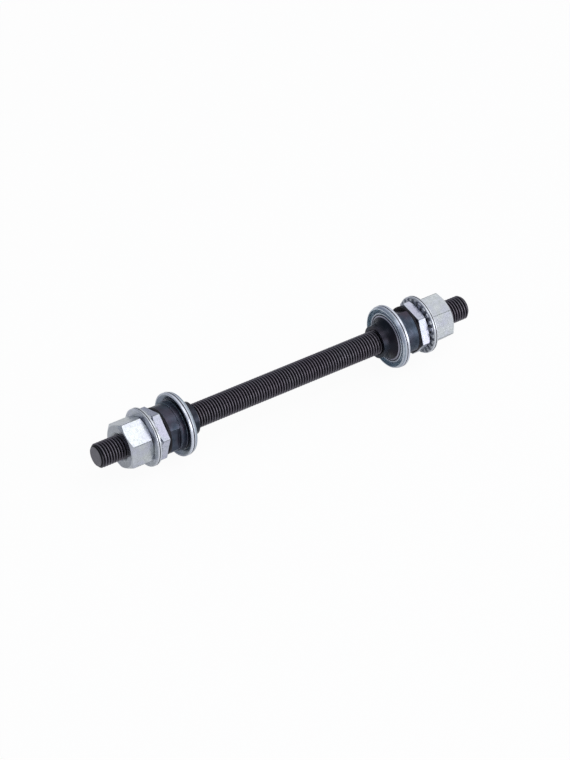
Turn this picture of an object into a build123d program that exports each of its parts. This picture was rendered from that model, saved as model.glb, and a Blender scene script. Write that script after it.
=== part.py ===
from build123d import *
import math
import os

# The solid front axle of a bicycle hub, with its bearing cones, lock nuts, serrated washers and axle nuts.
# Millimetres, +Z up. The axle lies along Y, with its middle at the origin.
# Both ends carry the same stack, mirrored. From the middle outwards it is a cone with its dust cap,
# a spacer washer, a lock nut, a serrated washer and an axle nut.
# Each piece is made standing on XY, with height 0 at its inner face and its outer face up.

# Axle, drawn at the major diameter of its 26 threads per inch
AXLE_DIAMETER = 7.94
AXLE_LENGTH = 140.0
THREAD_PITCH = 25.4 / 26
END_CHAMFER = 0.8 * THREAD_PITCH

# Fits between the pieces and along the axle
THREAD_GAP = 0.03
WASHER_GAP = 0.25
FACE_GAP = 0.02

# Places along the axle
OVER_LOCK_NUTS = 102.6

# Axle nut
NUT_ACROSS_FLATS = 14.0
NUT_HEIGHT = 8.1

# Lock nut
LOCK_ACROSS_FLATS = 15.0
LOCK_HEIGHT = 3.3

# Both nuts
CHAMFER_ANGLE = 30.0
FACE_INSET = 0.25
COUNTERSINK = 0.75
HEX_EDGE_ROUND = 0.2

# Serrated washer
SERRATED_RADIUS = 9.5
SERRATED_THICKNESS = 1.5
SERRATED_BEVEL = 0.25
TOOTH_COUNT = 24
TOOTH_DEPTH = 0.45
TOOTH_SHARE = 0.55
TOOTH_FLANK_ANGLE = 10.0
TOOTH_RING_WIDTH = 2.9
TOOTH_RIM = 0.35

# Spacer washer
SPACER_RADIUS = 7.75
SPACER_THICKNESS = 1.0
SPACER_EDGE = 0.15

# Cone: a collar on the axle, the ball race, a lip, a neck, the dust cap's seat, a stepped shoulder,
# and a body with wrench flats
COLLAR_WALL = 1.4
COLLAR_LENGTH = 1.3
RACE_RISE = 2.1
RACE_LENGTH = 3.05
LIP_LENGTH = 0.25
LIP_UNDERCUT = 0.35
NECK_LENGTH = 0.4
SEAT_RISE = 0.33
SEAT_LENGTH = 0.5
SHOULDER_RISE = 0.4
SHOULDER_LENGTH = 1.0
SHOULDER_STEP = 0.25
STEP_LENGTH = 1.7
BODY_WALL = 3.73
FLATS_LENGTH = 3.4
FLATS_DEPTH = 1.2
FLATS_MARGIN = 0.2
CONE_EDGE = 0.3

# Dust cap, a pressed ring that opens towards the middle: a tube on the cone's seat, a dished web and a skirt
CAP_SHEET = 0.5
CAP_TUBE_LENGTH = 1.15
CAP_CHANNEL = 1.6
CAP_DISH = 1.0
CAP_SKIRT_LENGTH = 2.45
CAP_BEVEL = 0.25
CAP_TUBE_BEVEL = 0.15

# How far each piece is turned on the axle, from +X towards +Z, at the near (-Y) and the far (+Y) end
NUT_TURN = {"left": 27.3, "right": 44.0}
LOCK_TURN = {"left": 15.3, "right": 49.5}
CONE_TURN = {"left": -3.0, "right": 119.0}
SERRATED_TURN = {"left": 0.0, "right": 5.5}

# Sizes that follow
AXLE_RADIUS = AXLE_DIAMETER / 2
THREADED_BORE = AXLE_RADIUS + THREAD_GAP
PLAIN_BORE = AXLE_RADIUS + WASHER_GAP
COLLAR_RADIUS = AXLE_RADIUS + COLLAR_WALL
LIP_RADIUS = COLLAR_RADIUS + RACE_RISE
SEAT_RADIUS = LIP_RADIUS + SEAT_RISE
SHOULDER_RADIUS = SEAT_RADIUS + SHOULDER_RISE
RACE_END = COLLAR_LENGTH + RACE_LENGTH
LIP_END = RACE_END + LIP_LENGTH
SEAT_START = LIP_END + NECK_LENGTH
SHOULDER_START = SEAT_START + SEAT_LENGTH
STEP_START = SHOULDER_START + SHOULDER_LENGTH
BODY_START = STEP_START + STEP_LENGTH
CONE_LENGTH = BODY_START + FLATS_MARGIN + FLATS_LENGTH
CAP_START = SHOULDER_START + CAP_DISH - CAP_SKIRT_LENGTH

# Stations: the distance of each inner face from the axle's middle
LOCK_STATION = OVER_LOCK_NUTS / 2 - LOCK_HEIGHT
SPACER_STATION = LOCK_STATION - FACE_GAP - SPACER_THICKNESS
CONE_STATION = SPACER_STATION - FACE_GAP - CONE_LENGTH
CAP_STATION = CONE_STATION + CAP_START
SERRATED_STATION = OVER_LOCK_NUTS / 2 + FACE_GAP
NUT_STATION = SERRATED_STATION + TOOTH_DEPTH + SERRATED_THICKNESS + FACE_GAP


def turned(*outline):
    """A solid turned about Z from an outline of (radius, height) points."""
    return revolve(Plane.XZ * make_face(Polyline(*outline, close=True)), Axis.Z)


def axle():
    """The rod, chamfered at both ends to below the thread's root."""
    rod = Cylinder(AXLE_RADIUS, AXLE_LENGTH)
    rod = chamfer(rod.edges().filter_by(GeomType.CIRCLE), END_CHAMFER)
    return Rot(90, 0, 0) * rod


def threaded_hole(height, mouth):
    """What is cut out for a threaded hole: the bore, with a countersink of this depth at each end."""
    return turned(
        (0, 0),
        (THREADED_BORE + mouth, 0),
        (THREADED_BORE, mouth),
        (THREADED_BORE, height - mouth),
        (THREADED_BORE + mouth, height),
        (0, height),
    )


def hex_nut(across_flats, height, both_faces):
    """A hexagon whose corners are turned back to a round face at its outer end, or at both ends."""
    hexagon = RegularPolygon(across_flats / 2, 6, major_radius=False)
    hexagon = fillet(hexagon.vertices(), HEX_EDGE_ROUND)
    face = across_flats / 2 - FACE_INSET
    spread = height / math.tan(math.radians(CHAMFER_ANGLE))
    envelope = turned((0, 0), (face + spread, 0), (face, height), (0, height))
    nut = extrude(hexagon, height) & envelope
    if both_faces:
        nut &= Pos(0, 0, height) * Rot(180, 0, 0) * envelope
    return nut - threaded_hole(height, COUNTERSINK)


def axle_nut():
    """The outer nut, chamfered at both faces."""
    return hex_nut(NUT_ACROSS_FLATS, NUT_HEIGHT, both_faces=True)


def lock_nut():
    """The thin nut that locks the cone, sharp on the spacer's side and chamfered on the fork's side."""
    return hex_nut(LOCK_ACROSS_FLATS, LOCK_HEIGHT, both_faces=False)


def serrated_washer():
    """A thick washer with a ring of raised radial teeth on its inner face, which bite into the fork end."""
    top = TOOTH_DEPTH + SERRATED_THICKNESS
    body = turned(
        (PLAIN_BORE, TOOTH_DEPTH),
        (SERRATED_RADIUS - SERRATED_BEVEL, TOOTH_DEPTH),
        (SERRATED_RADIUS, TOOTH_DEPTH + SERRATED_BEVEL),
        (SERRATED_RADIUS, top - SERRATED_BEVEL),
        (SERRATED_RADIUS - SERRATED_BEVEL, top),
        (PLAIN_BORE, top),
    )
    pitch = 360 / TOOTH_COUNT
    half = math.radians(pitch * TOOTH_SHARE / 2)
    outer = SERRATED_RADIUS - TOOTH_RIM
    spread = SERRATED_RADIUS * math.tan(half)
    wedge = make_face(Polyline((0, 0), (SERRATED_RADIUS, spread), (SERRATED_RADIUS, -spread), close=True))
    tooth = wedge & (Circle(outer) - Circle(outer - TOOTH_RING_WIDTH))
    tooth = extrude(Pos(0, 0, TOOTH_DEPTH) * tooth, -TOOTH_DEPTH, taper=TOOTH_FLANK_ANGLE)
    return body + [Rot(0, 0, pitch * k) * tooth for k in range(TOOTH_COUNT)]


def spacer_washer():
    """The thin plain washer between cone and lock nut."""
    return turned(
        (PLAIN_BORE, 0),
        (SPACER_RADIUS - SPACER_EDGE, 0),
        (SPACER_RADIUS, SPACER_EDGE),
        (SPACER_RADIUS, SPACER_THICKNESS - SPACER_EDGE),
        (SPACER_RADIUS - SPACER_EDGE, SPACER_THICKNESS),
        (PLAIN_BORE, SPACER_THICKNESS),
    )


def cone():
    """The bearing cone. Its race is an arc that leaves the collar along the axle and flares to the lip."""
    neck = LIP_RADIUS - LIP_UNDERCUT
    step = SHOULDER_RADIUS - SHOULDER_STEP
    body = AXLE_RADIUS + BODY_WALL
    foot = Polyline(
        (0, 0), (COLLAR_RADIUS - CONE_EDGE, 0), (COLLAR_RADIUS, CONE_EDGE), (COLLAR_RADIUS, COLLAR_LENGTH)
    )
    race = TangentArc(foot @ 1, (LIP_RADIUS, RACE_END), tangent=(0, 1))
    back = Polyline(
        race @ 1,
        (LIP_RADIUS, LIP_END),
        (neck, LIP_END),
        (neck, SEAT_START),
        (SEAT_RADIUS, SEAT_START),
        (SEAT_RADIUS, SHOULDER_START),
        (SHOULDER_RADIUS, SHOULDER_START),
        (SHOULDER_RADIUS, STEP_START),
        (step, STEP_START),
        (step, BODY_START),
        (body, BODY_START),
        (body, CONE_LENGTH - CONE_EDGE),
        (body - CONE_EDGE, CONE_LENGTH),
        (0, CONE_LENGTH),
        (0, 0),
    )
    turning = revolve(Plane.XZ * make_face(Curve() + [foot, race, back]), Axis.Z)
    turning -= threaded_hole(CONE_LENGTH, CONE_EDGE)
    # two opposite wrench flats, open at the outer end
    waste = Box(body, 2 * body, FLATS_LENGTH, align=(Align.MIN, Align.CENTER, Align.MAX))
    for side in (0, 180):
        turning -= Rot(0, 0, side) * Pos(body - FLATS_DEPTH, 0, CONE_LENGTH) * waste
    return turning


def dust_cap():
    """The pressed ring. Its web runs from the cone's shoulder to the rim, where the skirt turns back."""
    tube = SEAT_RADIUS + CAP_SHEET
    channel = tube + CAP_CHANNEL
    rim = channel + CAP_SHEET
    root = CAP_SKIRT_LENGTH - CAP_DISH
    mouth = root - CAP_TUBE_LENGTH
    web = CAP_SHEET * math.hypot(CAP_CHANNEL, CAP_DISH) / CAP_CHANNEL
    return turned(
        (SEAT_RADIUS, mouth),
        (tube - CAP_TUBE_BEVEL, mouth),
        (tube, mouth + CAP_TUBE_BEVEL),
        (tube, root - web),
        (channel, CAP_SKIRT_LENGTH - web),
        (channel, 0),
        (rim - CAP_BEVEL, 0),
        (rim, CAP_BEVEL),
        (rim, CAP_SKIRT_LENGTH - CAP_BEVEL),
        (rim - CAP_BEVEL, CAP_SKIRT_LENGTH),
        (channel, CAP_SKIRT_LENGTH),
        (tube, root),
        (SEAT_RADIUS, root),
    )


def on_axle(piece, end, station, turn=0.0):
    """The piece on the axle at this end, its inner face this far from the middle, turned from +X to +Z."""
    side = 1 if end == "right" else -1
    seat = Plane(origin=(0, side * station, 0), x_dir=(1, 0, 0), z_dir=(0, side, 0))
    return seat.location * Rot(0, 0, -side * turn) * piece


def build():
    pieces = {"axle": axle()}
    for end in ("left", "right"):
        pieces[f"{end}_cone"] = on_axle(cone(), end, CONE_STATION, CONE_TURN[end])
        pieces[f"{end}_dust_cap"] = on_axle(dust_cap(), end, CAP_STATION)
        pieces[f"{end}_spacer_washer"] = on_axle(spacer_washer(), end, SPACER_STATION)
        pieces[f"{end}_lock_nut"] = on_axle(lock_nut(), end, LOCK_STATION, LOCK_TURN[end])
        washer = serrated_washer()
        pieces[f"{end}_serrated_washer"] = on_axle(washer, end, SERRATED_STATION, SERRATED_TURN[end])
        pieces[f"{end}_axle_nut"] = on_axle(axle_nut(), end, NUT_STATION, NUT_TURN[end])
    return pieces


os.makedirs("parts", exist_ok=True)
for node, piece in build().items():
    export_step(piece, f"parts/{node}.step")
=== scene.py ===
import math
from collections import namedtuple

import bpy
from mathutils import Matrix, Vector


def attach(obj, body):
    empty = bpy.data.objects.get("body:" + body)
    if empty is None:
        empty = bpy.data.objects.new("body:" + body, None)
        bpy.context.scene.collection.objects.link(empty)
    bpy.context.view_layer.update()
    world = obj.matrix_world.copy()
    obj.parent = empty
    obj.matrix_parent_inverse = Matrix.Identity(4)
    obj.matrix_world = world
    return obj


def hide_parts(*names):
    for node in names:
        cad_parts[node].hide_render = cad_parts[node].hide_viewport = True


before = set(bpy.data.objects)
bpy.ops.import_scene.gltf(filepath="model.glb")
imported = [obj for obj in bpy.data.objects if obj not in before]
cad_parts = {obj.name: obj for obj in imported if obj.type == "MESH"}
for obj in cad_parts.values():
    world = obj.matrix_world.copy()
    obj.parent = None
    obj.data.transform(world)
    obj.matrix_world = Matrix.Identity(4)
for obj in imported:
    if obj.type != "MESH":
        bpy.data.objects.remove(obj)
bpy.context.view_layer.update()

# The solid front axle of a bicycle hub. Metres; sizes below are in millimetres and are multiplied by MM.
# The axle lies along Y. The near (-Y) end is "left" and the far (+Y) end is "right".
# Both carry the same stack.
MM = 0.001
ENDS = {"left": -1, "right": 1}

# Axle: 5/16 inch by 26 threads an inch, rolled
PITCH = 25.4 / 26
CREST_RADIUS = 3.97
ROOT_RADIUS = 3.4
END = 70.0
END_CHAMFER = 0.78
CHAMFER_RINGS = 6
CREST_SHARE = 0.2
ROOT_SHARE = 0.22
THREAD_STEPS = 48

# Fits
THREADED_BORE = 4.0
PLAIN_BORE = 4.22
TAP_GAP = 0.03
DRILLED_BORE = ROOT_RADIUS + 0.12

# Stations: the distance of each piece's inner face from the middle
CONE_STATION = 35.16
CAP_STATION = 39.21
SPACER_STATION = 46.98
LOCK_STATION = 48.0
SERRATED_STATION = 51.32
NUT_STATION = 53.29

# Axle nut and lock nut
NUT_ACROSS, NUT_HEIGHT = 14.0, 8.1
LOCK_ACROSS, LOCK_HEIGHT = 15.0, 3.3
NUT_TURN = {"left": 27.3, "right": 44.0}
LOCK_TURN = {"left": 15.3, "right": 49.5}
CHAMFER_RISE = math.tan(math.radians(30))
FACE_INSET = 0.25
COUNTERSINK = 0.75
HEX_EDGE = 0.17
NUT_ROUND = 0.17
LOCK_ROUND = 0.15

# Serrated washer
SERRATED_RADIUS = 9.5
SERRATED_THICKNESS = 1.5
TEETH = 24
FACES_A_TOOTH = 9
TOOTH_FACES = 5
TOOTH_DEPTH = 0.45
TOOTH_SLOPE = 0.08
TOOTH_RING = (6.25, 9.15)
SERRATED_BEVEL = 0.22
SERRATED_ROUND = 0.05
RIM_LINE = 0.85
RIM_LINE_HALF, RIM_LINE_DEPTH = 0.16, 0.14
SERRATED_TURN = {"left": 0.0, "right": 5.5}

# Spacer washer
SPACER_RADIUS = 7.75
SPACER_THICKNESS = 1.0
SPACER_ROUND = 0.14

# Cone
COLLAR = 5.37
LIP = 7.47
NECK = 7.12
SEAT = 7.8
SHOULDER = 8.2
STEP = 7.95
BODY = 7.7
COLLAR_LENGTH = 1.3
RACE_LENGTH = 3.05
RACE_STEPS = 14
LIP_LENGTH = 0.25
NECK_LENGTH = 0.4
SEAT_LENGTH = 0.5
SHOULDER_LENGTH = 1.0
STEP_LENGTH = 1.7
CONE_MOUTH = 0.3
FLATS_DEPTH = 1.2
FLATS_LENGTH = 3.4
CONE_LENGTH = 11.8
CONE_ROUND = 0.13
CONE_TURN = {"left": -3.0, "right": 119.0}

# Dust cap, measured from its open edge: a tube, a web that slopes out from it, a skirt with a rolled line
TUBE_START, TUBE_OUTSIDE, TUBE_CORNER = 0.3, 8.3, 0.15
WEB_START, SHEET_ALONG, WEB_SLOPE = 0.86, 0.59, 0.625
SKIRT_INSIDE, SKIRT_OUTSIDE, SKIRT_LENGTH = 9.9, 10.4, 2.45
SKIRT_BEND = 0.2
SKIRT_LINE = 1.4
SKIRT_LINE_HALF, SKIRT_LINE_DEPTH = 0.17, 0.13
CAP_ROUND = 0.06

# The skirt's open half draws in towards its edge, by this much inside and outside
DRAWN_BEFORE = 1.25
DRAWN_INSIDE, DRAWN_OUTSIDE = 0.28, 0.34
EDGE_WIDTH, EDGE_CORNER = 0.23, 0.18

# Meshes. A line round a rim lies within RIM_BAND of its radius and LINE_REACH of its middle
RIM_BAND = 0.2
LINE_REACH = 0.24
SIDES = 144
ENVELOPE_SIDES = 96
ROUND_STEPS = 3
SMOOTH = math.radians(32)
WELD = 0.001 * MM
ON_PLANE = 0.0001 * MM

# Finishes: sizes of their spots, what a steel hands on, and a colour Mix node's sockets
FRECKLE = 0.5
SAW_MARK = 0.6
Finish = namedtuple("Finish", "material tree place radius from_middle colour shader")
UNDER, OVER, MIXED = 6, 7, 2

# Studio: the table's level in millimetres and its size in metres, and how much of it shows as plain white
TABLE_LEVEL = -(SKIRT_OUTSIDE + 0.1)
TABLE_SIZE = 6
TABLE_TO_CAMERA, TABLE_IN_REFLECTIONS = 0.95, 0.4


def tidy_piece(piece, name):
    """Names the piece and puts its place into its mesh."""
    piece.name = piece.data.name = name
    bpy.ops.object.transform_apply(location=True, rotation=True, scale=True)
    return piece


def alone(piece):
    """Selects this piece and nothing else."""
    bpy.ops.object.select_all(action="DESELECT")
    piece.select_set(True)
    bpy.context.view_layer.objects.active = piece


def turned(name, outline, sides=SIDES, turn=0.0):
    """A closed ring turned about the axle's line: a circle drawn out along (radius, place) points.
    turn sets a face's middle, not a corner, at this many degrees from +X towards +Z."""
    bpy.ops.object.select_all(action="DESELECT")
    radius, place = outline[0]
    bpy.ops.mesh.primitive_circle_add(
        vertices=sides,
        radius=radius * MM,
        location=(0, place * MM, 0),
        rotation=(math.pi / 2, math.pi / sides - math.radians(turn), 0),
    )
    ring = tidy_piece(bpy.context.object, name)
    bpy.ops.object.mode_set(mode="EDIT")
    bpy.ops.mesh.select_all(action="SELECT")
    for next_radius, next_place in outline[1:] + outline[:1]:
        step = (0, (next_place - place) * MM, 0)
        bpy.ops.mesh.extrude_edges_move(TRANSFORM_OT_translate={"value": step})
        grow = next_radius / radius
        bpy.ops.transform.resize(value=(grow, 1, grow), center_override=(0, next_place * MM, 0))
        radius, place = next_radius, next_place
    bpy.ops.mesh.select_all(action="SELECT")
    bpy.ops.mesh.remove_doubles(threshold=WELD)
    bpy.ops.mesh.normals_make_consistent(inside=False)
    bpy.ops.object.mode_set(mode="OBJECT")
    return ring


def with_slots(piece, count):
    """Gives the piece this many material slots. The second is its edges'."""
    while len(piece.data.materials) < count:
        piece.data.materials.append(None)


def rounded(piece, width, angle=25):
    """Rounds the piece's edges a little, as real ones are."""
    alone(piece)
    with_slots(piece, 2)
    edge = piece.modifiers.new("edge", "BEVEL")
    edge.width = width * MM
    edge.segments = ROUND_STEPS
    edge.limit_method = "ANGLE"
    edge.angle_limit = math.radians(angle)
    edge.miter_outer = "MITER_ARC"
    edge.material = 1
    bpy.ops.object.modifier_apply(modifier=edge.name)
    return piece


def shaded(piece):
    """Shades the piece smooth over its round edges, while its large faces stay flat."""
    alone(piece)
    bpy.ops.object.shade_smooth_by_angle(angle=SMOOTH)
    even = piece.modifiers.new("even", "WEIGHTED_NORMAL")
    even.keep_sharp = True
    bpy.ops.object.modifier_apply(modifier=even.name)
    return piece


def plain_line(piece, radius, station):
    """Takes the edges' bright finish and painted highlight off a line round a rim, outside this radius."""
    for face in piece.data.polygons:
        from_line = abs(abs(face.center.y) / MM - station)
        if from_line < LINE_REACH and math.hypot(face.center.x, face.center.z) > radius * MM:
            face.material_index = 0


def cut_with(piece, tool, operation):
    """Cuts the piece with a tool, or keeps only what is inside it, and throws the tool away."""
    alone(piece)
    cut = piece.modifiers.new("cut", "BOOLEAN")
    cut.operation = operation
    cut.solver = "EXACT"
    cut.object = tool
    bpy.ops.object.modifier_apply(modifier=cut.name)
    bpy.data.objects.remove(tool)
    return piece


def thread(name, crest, root, first, last):
    """A right-hand thread from the place first to the place last: one tooth's outline, screwed along."""
    bpy.ops.object.select_all(action="DESELECT")
    phase = (math.floor((first + END) / PITCH) - 1) * PITCH - END
    turns = math.ceil((last - phase) / PITCH)
    half_root = ROOT_SHARE * PITCH / 2
    half_crest = CREST_SHARE * PITCH / 2
    outline = (
        (root, 0),
        (root, half_root),
        (crest, PITCH / 2 - half_crest),
        (crest, PITCH / 2 + half_crest),
        (root, PITCH - half_root),
        (root, PITCH),
    )
    bpy.ops.mesh.primitive_plane_add(size=MM, location=(root * MM, phase * MM, 0))
    made = tidy_piece(bpy.context.object, name)
    bpy.ops.object.mode_set(mode="EDIT")
    bpy.ops.mesh.select_all(action="SELECT")
    bpy.ops.mesh.merge(type="CENTER")
    before = outline[0]
    for point in outline[1:]:
        step = ((point[0] - before[0]) * MM, (point[1] - before[1]) * MM, 0)
        bpy.ops.mesh.extrude_vertices_move(TRANSFORM_OT_translate={"value": step})
        before = point
    bpy.ops.object.mode_set(mode="OBJECT")
    alone(made)
    screw = made.modifiers.new("screw", "SCREW")
    screw.axis = "Y"
    screw.angle = math.tau
    screw.screw_offset = PITCH * MM
    screw.iterations = turns
    screw.steps = screw.render_steps = THREAD_STEPS
    screw.use_merge_vertices = False
    bpy.ops.object.modifier_apply(modifier=screw.name)
    bpy.ops.object.mode_set(mode="EDIT")
    bpy.ops.mesh.select_all(action="SELECT")
    bpy.ops.mesh.remove_doubles(threshold=WELD)
    for place, out in ((first, -1), (last, 1)):
        bpy.ops.mesh.select_all(action="SELECT")
        bpy.ops.mesh.bisect(
            plane_co=(0, place * MM, 0),
            plane_no=(0, out, 0),
            use_fill=True,
            clear_outer=True,
            threshold=ON_PLANE,
        )
    bpy.ops.mesh.select_all(action="SELECT")
    bpy.ops.mesh.normals_make_consistent(inside=False)
    bpy.ops.object.mode_set(mode="OBJECT")
    return made


def axle_rod():
    """The threaded rod, its thread turned off to a cone at both ends."""
    rod = thread("threaded_axle", CREST_RADIUS, ROOT_RADIUS, -END, END)
    alone(rod)
    bpy.ops.object.mode_set(mode="EDIT")
    for out in (-1, 1):
        for k in range(1, CHAMFER_RINGS + 1):
            bpy.ops.mesh.select_all(action="SELECT")
            place = out * (END - END_CHAMFER * k / CHAMFER_RINGS)
            bpy.ops.mesh.bisect(plane_co=(0, place * MM, 0), plane_no=(0, 1, 0), threshold=ON_PLANE)
    bpy.ops.object.mode_set(mode="OBJECT")
    for point in rod.data.vertices:
        most = (CREST_RADIUS - END_CHAMFER + END) * MM - abs(point.co.y)
        radius = math.hypot(point.co.x, point.co.z)
        if radius > most:
            point.co.x *= most / radius
            point.co.z *= most / radius
    bpy.ops.object.shade_smooth_by_angle(angle=SMOOTH)
    return rod


def hexagon(name, across, height, turn, side, station):
    """A hexagonal bar's slice with all its edges rounded, turned by this angle from +X towards +Z."""
    bpy.ops.object.select_all(action="DESELECT")
    middle = side * (station + height / 2)
    bpy.ops.mesh.primitive_cylinder_add(
        vertices=6,
        radius=across / 2 / math.cos(math.pi / 6) * MM,
        depth=height * MM,
        location=(0, middle * MM, 0),
        rotation=(-math.pi / 2, math.radians(90 - turn), 0),
    )
    piece = tidy_piece(bpy.context.object, name)
    with_slots(piece, 2)
    bpy.ops.object.mode_set(mode="EDIT")
    bpy.ops.mesh.select_all(action="SELECT")
    bpy.ops.mesh.bevel(offset=HEX_EDGE * MM, segments=ROUND_STEPS, affect="EDGES", material=1)
    bpy.ops.object.mode_set(mode="OBJECT")
    return piece


def nut_envelope(across, height, both, bore, side, station):
    """The turned outline that a nut's corners are cut back to, with its countersunk bore."""
    past_corners = 0.5
    face = across / 2 - FACE_INSET
    outer = across / 2 / math.cos(math.pi / 6) + past_corners
    rise = (outer - face) * CHAMFER_RISE
    inner_face = [(face, 0), (outer, rise)] if both else [(outer, 0)]
    outline = [
        *inner_face,
        (outer, height - rise),
        (face, height),
        (THREADED_BORE + COUNTERSINK, height),
        (bore, height - COUNTERSINK - (THREADED_BORE - bore)),
        (bore, COUNTERSINK + (THREADED_BORE - bore)),
        (THREADED_BORE + COUNTERSINK, 0),
    ]
    return turned("envelope", [(r, side * (station + h)) for r, h in outline], ENVELOPE_SIDES)


def axle_nut(end):
    """The outer nut, chamfered at both faces and tapped with the axle's own thread."""
    side = ENDS[end]
    nut = hexagon(f"{end}_wheel_nut", NUT_ACROSS, NUT_HEIGHT, NUT_TURN[end], side, NUT_STATION)
    envelope = nut_envelope(NUT_ACROSS, NUT_HEIGHT, True, DRILLED_BORE, side, NUT_STATION)
    cut_with(nut, envelope, "INTERSECT")
    rounded(nut, NUT_ROUND, angle=28)
    past_faces = 1
    near, far = NUT_STATION - past_faces, NUT_STATION + NUT_HEIGHT + past_faces
    first, last = sorted((side * near, side * far))
    tap = thread("tap", CREST_RADIUS + TAP_GAP, ROOT_RADIUS + TAP_GAP, first, last)
    return shaded(cut_with(nut, tap, "DIFFERENCE"))


def lock_nut(end):
    """The thin nut, chamfered on the fork's side only. The rod always fills its bore, which stays plain."""
    side = ENDS[end]
    nut = hexagon(f"{end}_cone_lock_nut", LOCK_ACROSS, LOCK_HEIGHT, LOCK_TURN[end], side, LOCK_STATION)
    envelope = nut_envelope(LOCK_ACROSS, LOCK_HEIGHT, False, THREADED_BORE, side, LOCK_STATION)
    cut_with(nut, envelope, "INTERSECT")
    return shaded(rounded(nut, LOCK_ROUND, angle=28))


def serrated_washer(end):
    """The thick washer, its teeth raised from the ring of faces that meets the fork."""
    side = ENDS[end]
    inner, outer = TOOTH_RING
    top = TOOTH_DEPTH + SERRATED_THICKNESS
    line = TOOTH_DEPTH + RIM_LINE
    outline = [
        (PLAIN_BORE, TOOTH_DEPTH),
        (inner, TOOTH_DEPTH),
        (outer, TOOTH_DEPTH),
        (SERRATED_RADIUS - SERRATED_BEVEL, TOOTH_DEPTH),
        (SERRATED_RADIUS, TOOTH_DEPTH + SERRATED_BEVEL),
        (SERRATED_RADIUS, line - RIM_LINE_HALF),
        (SERRATED_RADIUS - RIM_LINE_DEPTH, line),
        (SERRATED_RADIUS, line + RIM_LINE_HALF),
        (SERRATED_RADIUS, top - SERRATED_BEVEL),
        (SERRATED_RADIUS - SERRATED_BEVEL, top),
        (PLAIN_BORE, top),
    ]
    places = [(r, side * (SERRATED_STATION + h)) for r, h in outline]
    washer = turned(f"{end}_toothed_washer", places, TEETH * FACES_A_TOOTH, SERRATED_TURN[end])
    rounded(washer, SERRATED_ROUND)
    plain_line(washer, SERRATED_RADIUS - RIM_BAND, SERRATED_STATION + line)
    floor = side * (SERRATED_STATION + TOOTH_DEPTH) * MM
    alone(washer)
    bpy.ops.object.mode_set(mode="EDIT")
    bpy.ops.mesh.select_mode(type="FACE")
    bpy.ops.mesh.select_all(action="DESELECT")
    bpy.ops.object.mode_set(mode="OBJECT")
    for face in washer.data.polygons:
        on_floor = abs(face.center.y - floor) < WELD
        radius = math.hypot(face.center.x, face.center.z) / MM
        across = math.degrees(math.atan2(face.center.z, face.center.x)) - SERRATED_TURN[end]
        from_tooth = abs((across * TEETH / 360 + 0.5) % 1 - 0.5)
        in_tooth = from_tooth < TOOTH_FACES / FACES_A_TOOTH / 2
        face.select = on_floor and inner < radius < outer and in_tooth
    bpy.ops.object.mode_set(mode="EDIT")
    bpy.ops.mesh.inset(thickness=TOOTH_SLOPE * MM, depth=TOOTH_DEPTH * MM)
    bpy.ops.mesh.select_mode(type="VERT")
    bpy.ops.object.mode_set(mode="OBJECT")
    return shaded(washer)


def spacer_washer(end):
    """The thin plain washer between cone and lock nut."""
    side = ENDS[end]
    outline = (
        (PLAIN_BORE, 0),
        (SPACER_RADIUS, 0),
        (SPACER_RADIUS, SPACER_THICKNESS),
        (PLAIN_BORE, SPACER_THICKNESS),
    )
    ring = turned(f"{end}_plain_spacer", [(r, side * (SPACER_STATION + h)) for r, h in outline])
    return shaded(rounded(ring, SPACER_ROUND))


def bearing_cone(end):
    """The turned cone: collar, race, lip, shoulder, and a body with two wrench flats."""
    side = ENDS[end]
    rise = LIP - COLLAR
    arc_radius = (rise**2 + RACE_LENGTH**2) / (2 * rise)
    sweep = math.asin(RACE_LENGTH / arc_radius)
    race = [
        (
            COLLAR + arc_radius * (1 - math.cos(sweep * k / RACE_STEPS)),
            COLLAR_LENGTH + arc_radius * math.sin(sweep * k / RACE_STEPS),
        )
        for k in range(RACE_STEPS + 1)
    ]
    lip_back = COLLAR_LENGTH + RACE_LENGTH + LIP_LENGTH
    seat = lip_back + NECK_LENGTH
    shoulder = seat + SEAT_LENGTH
    step = shoulder + SHOULDER_LENGTH
    body = step + STEP_LENGTH
    outline = [
        (THREADED_BORE + CONE_MOUTH, 0),
        (COLLAR, 0),
        *race,
        (LIP, lip_back),
        (NECK, lip_back),
        (NECK, seat),
        (SEAT, seat),
        (SEAT, shoulder),
        (SHOULDER, shoulder),
        (SHOULDER, step),
        (STEP, step),
        (STEP, body),
        (BODY, body),
        (BODY, CONE_LENGTH),
        (THREADED_BORE + CONE_MOUTH, CONE_LENGTH),
        (THREADED_BORE, CONE_LENGTH - CONE_MOUTH),
        (THREADED_BORE, CONE_MOUTH),
    ]
    cone = turned(f"{end}_bearing_cone", [(r, side * (CONE_STATION + h)) for r, h in outline])
    # what the two flats take off: a block on either side, past the end by half a millimetre
    past_end = 0.5
    reach = BODY - FLATS_DEPTH + BODY / 2
    middle = side * (CONE_STATION + CONE_LENGTH - FLATS_LENGTH / 2 + past_end)
    for half in (0, math.pi):
        across = math.radians(CONE_TURN[end]) + half
        bpy.ops.object.select_all(action="DESELECT")
        bpy.ops.mesh.primitive_cube_add(
            size=1,
            location=(reach * math.cos(across) * MM, middle * MM, reach * math.sin(across) * MM),
            rotation=(0, -across, 0),
            scale=(BODY * MM, (FLATS_LENGTH + 2 * past_end) * MM, 3 * BODY * MM),
        )
        cut_with(cone, tidy_piece(bpy.context.object, "waste"), "DIFFERENCE")
    return shaded(rounded(cone, CONE_ROUND, angle=28))


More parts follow.
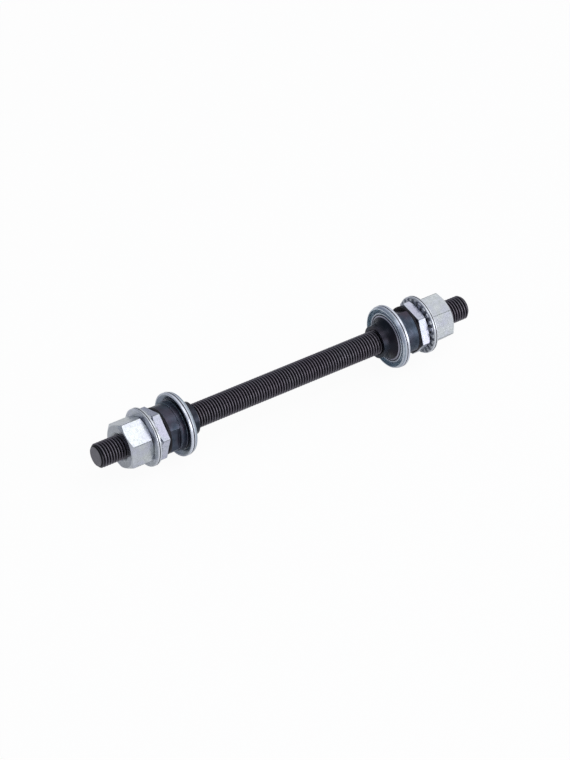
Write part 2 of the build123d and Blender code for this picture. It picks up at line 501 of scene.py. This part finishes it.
def dust_cap(end):
    """The pressed ring: a tube on the cone's seat, a dished web, and a skirt with a rolled line that draws
    in a little towards its open edge."""
    side = ENDS[end]
    web_end = WEB_START + WEB_SLOPE * (SKIRT_INSIDE - TUBE_OUTSIDE)
    edge = SKIRT_INSIDE - DRAWN_INSIDE
    outline = (
        (SEAT, TUBE_START),
        (TUBE_OUTSIDE - TUBE_CORNER, TUBE_START),
        (TUBE_OUTSIDE, TUBE_START + TUBE_CORNER),
        (TUBE_OUTSIDE, WEB_START),
        (SKIRT_INSIDE, web_end),
        (SKIRT_INSIDE, DRAWN_BEFORE),
        (edge, 0),
        (edge + EDGE_WIDTH, 0),
        (SKIRT_OUTSIDE - DRAWN_OUTSIDE, EDGE_CORNER),
        (SKIRT_OUTSIDE, SKIRT_LINE - SKIRT_LINE_HALF),
        (SKIRT_OUTSIDE - SKIRT_LINE_DEPTH, SKIRT_LINE),
        (SKIRT_OUTSIDE, SKIRT_LINE + SKIRT_LINE_HALF),
        (SKIRT_OUTSIDE, SKIRT_LENGTH - SKIRT_BEND),
        (SKIRT_OUTSIDE - SKIRT_BEND, SKIRT_LENGTH),
        (SKIRT_INSIDE, web_end + SHEET_ALONG),
        (TUBE_OUTSIDE, WEB_START + SHEET_ALONG),
        (SEAT, WEB_START + SHEET_ALONG),
    )
    cap = turned(f"{end}_pressed_cap", [(r, side * (CAP_STATION + h)) for r, h in outline])
    rounded(cap, CAP_ROUND, angle=20)
    plain_line(cap, SKIRT_OUTSIDE - RIM_BAND, CAP_STATION + SKIRT_LINE)
    return shaded(cap)


def linear(code):
    """An sRGB hex colour as linear RGBA."""
    parts = [int(code[k:k + 2], 16) / 255 for k in (1, 3, 5)]
    return (*[c / 12.92 if c <= 0.04045 else ((c + 0.055) / 1.055) ** 2.4 for c in parts], 1)


def add(tree, kind, inputs=(), **settings):
    """Adds a node with its settings. Each input is a value, or another node's output to link."""
    made = tree.nodes.new(kind)
    for name, value in settings.items():
        setattr(made, name, value)
    for socket, value in dict(inputs).items():
        if isinstance(value, bpy.types.NodeSocket):
            tree.links.new(value, made.inputs[socket])
        else:
            made.inputs[socket].default_value = value
    return made


def new_material(name):
    """An empty material, its tree and its output node."""
    material = bpy.data.materials.new(name)
    material.use_nodes = True
    tree = material.node_tree
    tree.nodes.clear()
    return material, tree, tree.nodes.new("ShaderNodeOutputMaterial")


def steel(name, colours, metallic, rough, blotch, grain, marks):
    """Plated or blackened steel. The colour drifts from dark to light in blotches, with a tint in wider
    ones and small freckles. The surface has a grain and turning marks, rings round the axle on faces and
    sides. colours are the four colours in that order, rough is (smoothest, roughest), blotch is a size in
    millimetres, and grain and marks are (size, depth) in millimetres. The real grain is about 0.02 mm,
    too fine to show here, so it is drawn as coarse as it needs to show."""
    material, tree, out = new_material(name)
    dark, light, tint, freckle = colours
    place = add(tree, "ShaderNodeTexCoord").outputs["Object"]
    parts = add(tree, "ShaderNodeSeparateXYZ", {0: place}).outputs
    across = add(tree, "ShaderNodeCombineXYZ", {"X": parts["X"], "Z": parts["Z"]}).outputs[0]
    radius = add(tree, "ShaderNodeVectorMath", {0: across}, operation="LENGTH").outputs["Value"]
    from_middle = add(tree, "ShaderNodeMath", {0: parts["Y"]}, operation="ABSOLUTE").outputs[0]

    colour = linear(dark)
    for paint, size, detail, break_up, low, high in (
        (light, blotch, 4, 0.6, 0.3, 0.7),
        (tint, 4 * blotch, 2, 0.5, 0.4, 0.65),
        (freckle, FRECKLE, 3, 0.6, 0.48, 0.74),
    ):
        spots = add(
            tree,
            "ShaderNodeTexNoise",
            {"Vector": place, "Scale": 1 / (size * MM), "Detail": detail, "Roughness": break_up},
        ).outputs["Fac"]
        share = add(
            tree, "ShaderNodeMapRange", {"Value": spots, "From Min": low, "From Max": high}
        ).outputs[0]
        colour = add(
            tree, "ShaderNodeMix", {"Factor": share, UNDER: colour, OVER: linear(paint)}, data_type="RGBA"
        ).outputs[MIXED]

    grain_size, grain_depth = grain
    fine = add(
        tree,
        "ShaderNodeTexNoise",
        {"Vector": place, "Scale": 1 / (grain_size * MM), "Detail": 3, "Roughness": 0.65},
    ).outputs["Fac"]
    roughness = add(
        tree,
        "ShaderNodeMapRange",
        {"Value": fine, "From Min": 0.3, "From Max": 0.7, "To Min": rough[0], "To Max": rough[1]},
    ).outputs[0]
    mark_size, mark_depth = marks
    along = add(tree, "ShaderNodeMath", {0: parts["Y"], 1: radius}, operation="ADD").outputs[0]
    line = add(tree, "ShaderNodeCombineXYZ", {"X": along}).outputs[0]
    rings = add(
        tree, "ShaderNodeTexNoise", {"Vector": line, "Scale": 1 / (mark_size * MM), "Detail": 2}
    ).outputs["Fac"]
    turning = add(
        tree, "ShaderNodeBump", {"Height": rings, "Distance": mark_depth * MM, "Strength": 1.0}
    ).outputs[0]
    bump = add(
        tree,
        "ShaderNodeBump",
        {"Height": fine, "Distance": grain_depth * MM, "Strength": 1.0, "Normal": turning},
    ).outputs[0]
    shader = add(
        tree,
        "ShaderNodeBsdfPrincipled",
        {"Base Color": colour, "Metallic": metallic, "Roughness": roughness, "Normal": bump},
    )
    tree.links.new(shader.outputs[0], out.inputs[0])
    return Finish(material, tree, place, radius, from_middle, colour, shader)


def painted(base, layers):
    """The steel's material, with layers over its own colour. Each layer is a share and a colour."""
    tree = base.tree
    colour = base.colour
    for share, paint in layers:
        paint = linear(paint) if isinstance(paint, str) else paint
        colour = add(
            tree, "ShaderNodeMix", {"Factor": share, UNDER: colour, OVER: paint}, data_type="RGBA"
        ).outputs[MIXED]
    tree.links.new(colour, base.shader.inputs["Base Color"])
    return base.material


def line_mask(base, station, half_width, radius):
    """Where a rolled or punched line runs round a rim, this far from the middle and outside this radius."""
    near = add(
        base.tree,
        "ShaderNodeMath",
        {0: base.from_middle, 1: station * MM, 2: half_width * MM},
        operation="COMPARE",
    ).outputs[0]
    outside = add(
        base.tree, "ShaderNodeMath", {0: base.radius, 1: radius * MM}, operation="GREATER_THAN"
    ).outputs[0]
    return add(base.tree, "ShaderNodeMath", {0: near, 1: outside}, operation="MULTIPLY").outputs[0]


def black_oxide_thread():
    """Rolled thread in black oxide: oily in the roots and darkened there with painted shade, rubbed grey on
    the crests. Sawn ends.
    """
    base = steel(
        "black_oxide_on_rolled_thread",
        colours=("#66636b", "#7b7882", "#6c6570", "#625f68"),
        metallic=0.8,
        rough=(0.36, 0.55),
        blotch=2.5,
        grain=(0.12, 0.004),
        marks=(0.2, 0.0),
    )
    tree = base.tree
    # painted shade: the roots are painted nearly black, for their oil and for the shade that falls in them
    root = add(
        tree,
        "ShaderNodeMapRange",
        {
            "Value": base.radius,
            "From Min": (ROOT_RADIUS + 0.05) * MM,
            "From Max": (CREST_RADIUS - 0.08) * MM,
            "To Min": 1.0,
            "To Max": 0.0,
        },
    ).outputs[0]
    saw_marks = add(
        tree,
        "ShaderNodeTexNoise",
        {"Vector": base.place, "Scale": 1 / (SAW_MARK * MM), "Detail": 4, "Roughness": 0.7},
    ).outputs["Fac"]
    sawn = add(
        tree,
        "ShaderNodeMix",
        {"Factor": saw_marks, UNDER: linear("#454349"), OVER: linear("#85828a")},
        data_type="RGBA",
    ).outputs[MIXED]
    at_end = add(
        tree, "ShaderNodeMath", {0: base.from_middle, 1: (END - 0.03) * MM}, operation="GREATER_THAN"
    ).outputs[0]
    return painted(base, ((root, "#0c0b0e"), (at_end, sawn)))


def blued_cone_steel():
    """Hardened, blackened cone: blue-black with teal and purple-brown temper tints, fine turning marks,
    painted shade where the cap covers it and a painted highlight on the lip's edge.
    """
    base = steel(
        "blue_black_oxide_on_turned_steel",
        colours=("#2d3542", "#4c5869", "#473f4b", "#39424f"),
        metallic=0.85,
        rough=(0.26, 0.42),
        blotch=1.8,
        grain=(0.1, 0.003),
        marks=(0.18, 0.004),
    )
    tree = base.tree
    # painted shade: the ground race and the undercut behind it, in the cap's shade, are painted darker than
    # the turned body and the collar's front
    before_body = add(
        tree,
        "ShaderNodeMapRange",
        {
            "Value": base.from_middle,
            "From Min": (CAP_STATION + 2.3) * MM,
            "From Max": (CAP_STATION + 2.6) * MM,
            "To Min": 0.8,
            "To Max": 0.0,
        },
    ).outputs[0]
    behind_collar = add(
        tree,
        "ShaderNodeMapRange",
        {
            "Value": base.from_middle,
            "From Min": (CONE_STATION + COLLAR_LENGTH) * MM,
            "From Max": (CONE_STATION + COLLAR_LENGTH + 1.3) * MM,
            "To Min": 0.6,
            "To Max": 1.0,
        },
    ).outputs[0]
    dark = add(
        tree, "ShaderNodeMath", {0: before_body, 1: behind_collar}, operation="MINIMUM"
    ).outputs[0]
    # a painted highlight along the lip's edge
    lip = add(
        tree,
        "ShaderNodeMath",
        {
            0: base.from_middle,
            1: (CONE_STATION + COLLAR_LENGTH + RACE_LENGTH - 0.1) * MM,
            2: 0.11 * MM,
        },
        operation="COMPARE",
    ).outputs[0]
    return painted(base, ((dark, "#0e1017"), (lip, "#9a9aa8")))


def rubbed_and_highlit_cone_edge():
    """The blackened cone's edges: the steel is rubbed a little, and a painted highlight makes them much
    brighter.
    """
    return steel(
        "rubbed_blackened_steel_with_painted_edge_highlight",
        colours=("#7f96a7", "#adc3d0", "#9290a4", "#748593"),
        metallic=0.9,
        rough=(0.26, 0.4),
        blotch=1.2,
        grain=(0.1, 0.003),
        marks=(0.18, 0.002),
    ).material


def black_spacer_steel():
    """Punched washer in black oxide, matt."""
    return steel(
        "black_oxide_on_punched_steel",
        colours=("#19181c", "#2a2930", "#221f24", "#1c1b1f"),
        metallic=0.8,
        rough=(0.4, 0.6),
        blotch=1.5,
        grain=(0.1, 0.004),
        marks=(0.25, 0.002),
    ).material


def zinc_on_nut():
    """Cold-formed nut in bright zinc: nearly white, mottled, with small dull freckles and a duller end."""
    base = steel(
        "bright_zinc_on_formed_steel",
        colours=("#bcc1c5", "#dadedf", "#c4c7d4", "#aeb2b2"),
        metallic=1.0,
        rough=(0.22, 0.4),
        blotch=1.0,
        grain=(0.35, 0.014),
        marks=(0.3, 0.002),
    )
    end_face = NUT_STATION + NUT_HEIGHT
    faced = add(
        base.tree,
        "ShaderNodeMapRange",
        {
            "Value": base.from_middle,
            "From Min": (end_face - 0.12) * MM,
            "From Max": end_face * MM,
            "To Min": 0.0,
            "To Max": 0.5,
        },
    ).outputs[0]
    return painted(base, ((faced, "#7c808c"),))


def zinc_on_lock_nut():
    """Thin nut cut from bar, in blue-passivated zinc with a lavender cast."""
    return steel(
        "blue_zinc_on_cut_bar",
        colours=("#b9bfce", "#d9dce8", "#c9c8dc", "#b0b5c4"),
        metallic=1.0,
        rough=(0.22, 0.4),
        blotch=0.9,
        grain=(0.35, 0.012),
        marks=(0.3, 0.002),
    ).material


def dull_and_shaded_zinc_edge():
    """The nuts' edges, where the plating is dull from the tumbling drum and painted darker still as shade
    along each edge.
    """
    return steel(
        "dull_zinc_with_painted_edge_shade",
        colours=("#7f8486", "#9a9fa1", "#888b95", "#777c7b"),
        metallic=1.0,
        rough=(0.35, 0.5),
        blotch=0.8,
        grain=(0.2, 0.006),
        marks=(0.3, 0.002),
    ).material


def zinc_on_washer():
    """Punched and coined washer in zinc: a painted highlight on its rim, greyer with grime and painted
    shade on its toothed face and between its teeth.
    """
    base = steel(
        "blue_zinc_on_coined_steel",
        colours=("#b2b7bd", "#d2d7dd", "#bec2d0", "#a9acad"),
        metallic=0.65,
        rough=(0.24, 0.4),
        blotch=1.0,
        grain=(0.3, 0.012),
        marks=(0.2, 0.004),
    )
    tree = base.tree
    # grime and painted shade on the toothed face, which sits against the lock nut
    toothed = add(
        tree,
        "ShaderNodeMath",
        {0: base.from_middle, 1: (SERRATED_STATION + TOOTH_DEPTH + 0.1) * MM},
        operation="LESS_THAN",
    ).outputs[0]
    grime_and_shade_on_teeth = add(tree, "ShaderNodeMath", {0: toothed, 1: 0.28}, operation="MULTIPLY").outputs[0]
    # a painted highlight on the rim, stronger towards the nut
    on_rim = add(
        tree,
        "ShaderNodeMath",
        {0: base.radius, 1: (SERRATED_RADIUS - 0.06) * MM},
        operation="GREATER_THAN",
    ).outputs[0]
    towards_nut = add(
        tree,
        "ShaderNodeMapRange",
        {
            "Value": base.from_middle,
            "From Min": (SERRATED_STATION + 0.7) * MM,
            "From Max": (SERRATED_STATION + 1.4) * MM,
            "To Min": 0.3,
            "To Max": 0.8,
        },
    ).outputs[0]
    bright = add(
        tree, "ShaderNodeMath", {0: on_rim, 1: towards_nut}, operation="MULTIPLY"
    ).outputs[0]
    # the punch's line round the rim holds grime, and painted shade darkens it
    in_line = line_mask(
        base, SERRATED_STATION + TOOTH_DEPTH + RIM_LINE, RIM_LINE_HALF - 0.01, SERRATED_RADIUS - 0.3
    )
    return painted(base, ((grime_and_shade_on_teeth, "#4e4f50"), (bright, "#e0e3ea"), (in_line, "#2b2b28")))


def zinc_on_cap():
    """Pressed sheet in blue zinc: blue-grey on its faces, with painted light in its channel, a painted
    highlight on the skirt and a line of painted shade round it.
    """
    base = steel(
        "blue_zinc_on_pressed_sheet",
        colours=("#7f8e9b", "#a4b1bc", "#949db0", "#86939e"),
        metallic=0.6,
        rough=(0.22, 0.36),
        blotch=1.4,
        grain=(0.2, 0.006),
        marks=(0.15, 0.006),
    )
    tree = base.tree
    # painted light: the outer half of the channel between tube and skirt lies in shade and is painted the
    # palest plating
    mid_sheet = CAP_STATION + WEB_START + SHEET_ALONG / 2 - WEB_SLOPE * TUBE_OUTSIDE
    level = add(
        tree,
        "ShaderNodeMath",
        {0: base.radius, 1: -WEB_SLOPE, 2: base.from_middle},
        operation="MULTIPLY_ADD",
    ).outputs[0]
    inside = add(tree, "ShaderNodeMath", {0: level, 1: mid_sheet * MM}, operation="LESS_THAN").outputs[0]
    painted_light_ring = add(
        tree,
        "ShaderNodeMath",
        {0: base.radius, 1: (SKIRT_INSIDE - 0.48) * MM, 2: 0.5 * MM},
        operation="COMPARE",
    ).outputs[0]
    channel = add(tree, "ShaderNodeMath", {0: inside, 1: painted_light_ring}, operation="MULTIPLY").outputs[0]
    # a painted highlight on the skirt's outside
    skirt = add(
        tree,
        "ShaderNodeMapRange",
        {
            "Value": base.radius,
            "From Min": (SKIRT_OUTSIDE - 0.24) * MM,
            "From Max": (SKIRT_OUTSIDE - 0.03) * MM,
            "To Min": 0.0,
            "To Max": 0.9,
        },
    ).outputs[0]
    # painted shade in the rolled line round the skirt
    in_line = line_mask(
        base, CAP_STATION + SKIRT_LINE, SKIRT_LINE_HALF + 0.02, SKIRT_OUTSIDE - 0.15
    )
    return painted(base, ((channel, "#c4d3dc"), (skirt, "#dadeea"), (in_line, "#34373c")))


def burnished_and_highlit_zinc_edge():
    """The washers' and caps' edges, where the plating is burnished bright, with a painted highlight on top.
    """
    return steel(
        "burnished_zinc_with_painted_edge_highlight",
        colours=("#c9cdd6", "#e6e9ee", "#d6d7e4", "#c4c8cc"),
        metallic=1.0,
        rough=(0.2, 0.32),
        blotch=0.8,
        grain=(0.2, 0.004),
        marks=(0.3, 0.002),
    ).material


def set_on(piece, body, nodes, material, edges):
    """Gives the piece and its edges their finishes, and sets it on its body in place of its CAD nodes."""
    with_slots(piece, 1)
    for place, finish in zip(range(len(piece.data.materials)), (material, edges)):
        piece.data.materials[place] = finish
    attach(piece, body)
    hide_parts(*nodes)


def studio():
    """A white table in a pale room, under a long soft strip, with a smaller soft light from the side."""
    bpy.ops.object.select_all(action="DESELECT")
    bpy.ops.mesh.primitive_plane_add(size=TABLE_SIZE, location=(0, 0, TABLE_LEVEL * MM))
    table = tidy_piece(bpy.context.object, "table")
    material, tree, out = new_material("white_table")
    # the camera, reflections and glass all see it white; reflections show more of the object's shadow on it
    rays = add(tree, "ShaderNodeLightPath").outputs
    other = add(
        tree,
        "ShaderNodeMath",
        {0: rays["Is Glossy Ray"], 1: rays["Is Transmission Ray"]},
        operation="MAXIMUM",
    ).outputs[0]
    dimmed = add(
        tree, "ShaderNodeMath", {0: other, 1: TABLE_IN_REFLECTIONS}, operation="MULTIPLY"
    ).outputs[0]
    direct = add(
        tree, "ShaderNodeMath", {0: rays["Is Camera Ray"], 1: TABLE_TO_CAMERA}, operation="MULTIPLY"
    ).outputs[0]
    share = add(tree, "ShaderNodeMath", {0: direct, 1: dimmed}, operation="MAXIMUM").outputs[0]
    card = add(tree, "ShaderNodeBsdfDiffuse", {"Color": linear("#f5f5f5")})
    white = add(tree, "ShaderNodeEmission", {"Color": (1, 1, 1, 1), "Strength": 1.0})
    mixed = add(tree, "ShaderNodeMixShader", {0: share, 1: card.outputs[0], 2: white.outputs[0]})
    tree.links.new(mixed.outputs[0], out.inputs[0])
    table.data.materials.append(material)

    world = bpy.data.worlds.new("studio")
    bpy.context.scene.world = world
    world.use_nodes = True
    tree = world.node_tree
    tree.nodes.clear()
    out = tree.nodes.new("ShaderNodeOutputWorld")
    # a pale room: lightest overhead and towards the window (+X), greyer low down opposite and at -Y
    towards = add(tree, "ShaderNodeTexCoord").outputs["Generated"]
    parts = add(tree, "ShaderNodeSeparateXYZ", {0: towards}).outputs
    height = add(
        tree, "ShaderNodeMath", {0: parts["X"], 1: 0.6, 2: parts["Z"]}, operation="MULTIPLY_ADD"
    ).outputs[0]
    pale = add(
        tree, "ShaderNodeMapRange", {"Value": height, "From Min": -0.4, "From Max": 0.5}
    ).outputs[0]
    walls = add(
        tree,
        "ShaderNodeMix",
        {"Factor": pale, UNDER: linear("#8d9199"), OVER: linear("#f7f8f9")},
        data_type="RGBA",
    ).outputs[MIXED]
    near_end = add(
        tree,
        "ShaderNodeMapRange",
        {"Value": parts["Y"], "From Min": -0.05, "From Max": 0.4, "To Min": 1.0, "To Max": 0.0},
    ).outputs[0]
    darker = add(
        tree, "ShaderNodeMix", {"Factor": near_end, UNDER: walls, OVER: linear("#969ba5")}, data_type="RGBA"
    ).outputs[MIXED]
    room = add(tree, "ShaderNodeBackground", {"Color": darker, "Strength": 1.1})
    tree.links.new(room.outputs[0], out.inputs[0])

    # a strip above, along the axle, and a smaller lamp low down by the window
    for name, place, length, width, power in (
        ("overhead_strip", (0.24, 0.0, 0.8), 1.2, 0.34, 1.4),
        ("side_softbox", (0.58, 0.32, 0.175), 0.36, 0.36, 0.9),
    ):
        data = bpy.data.lights.new(name, "AREA")
        data.shape = "RECTANGLE"
        data.size = length
        data.size_y = width
        data.energy = power
        lamp = bpy.data.objects.new(name, data)
        bpy.context.scene.collection.objects.link(lamp)
        lamp.location = place
        lamp.rotation_euler = Vector(place).to_track_quat("Z", "Y").to_euler()


def camera():
    """The photograph's viewpoint, from the fit of the rod, its thread and the rings to the picture."""
    azimuth, elevation = math.radians(54.894), math.radians(35.659)
    distance, focal_pixels, long_side_pixels = 1.234, 3949, 760
    shift_right, shift_down = 0.35, 0.12
    back = Vector(
        (
            math.sin(azimuth) * math.cos(elevation),
            -math.cos(azimuth) * math.cos(elevation),
            math.sin(elevation),
        )
    )
    right = Vector((math.cos(azimuth), math.sin(azimuth), 0))
    up = back.cross(right)
    data = bpy.data.cameras.new("camera")
    data.sensor_width = 36
    data.lens = focal_pixels * data.sensor_width / long_side_pixels
    made = bpy.data.objects.new("camera", data)
    bpy.context.scene.collection.objects.link(made)
    made.location = (right * shift_right - up * shift_down) * MM + back * distance
    made.rotation_euler = back.to_track_quat("Z", "Y").to_euler()
    bpy.context.scene.camera = made


camera()
studio()

thread_black = black_oxide_thread()
cone_blue = blued_cone_steel()
cone_edge_highlight = rubbed_and_highlit_cone_edge()
spacer_black = black_spacer_steel()
nut_zinc = zinc_on_nut()
lock_zinc = zinc_on_lock_nut()
nut_edge = dull_and_shaded_zinc_edge()
washer_zinc = zinc_on_washer()
cap_zinc = zinc_on_cap()
zinc_edge_highlight = burnished_and_highlit_zinc_edge()

set_on(axle_rod(), "axle", ["axle"], thread_black, thread_black)
for end in ENDS:
    for make, body, node, slot, material, edges in (
        (bearing_cone, "cone", "cone", "cone_black", cone_blue, cone_edge_highlight),
        (dust_cap, "cone", "dust_cap", "cap_zinc", cap_zinc, zinc_edge_highlight),
        (spacer_washer, "spacer_washer", "spacer_washer", "spacer_black", spacer_black, spacer_black),
        (lock_nut, "lock_nut", "lock_nut", "nut_zinc", lock_zinc, nut_edge),
        (serrated_washer, "serrated_washer", "serrated_washer", "washer_zinc", washer_zinc, zinc_edge_highlight),
        (axle_nut, "axle_nut", "axle_nut", "nut_zinc", nut_zinc, nut_edge),
    ):
        set_on(make(end), f"{end}_{body}", [f"{end}_{node}"], material, edges)

bpy.context.scene.view_settings.view_transform = "Standard"
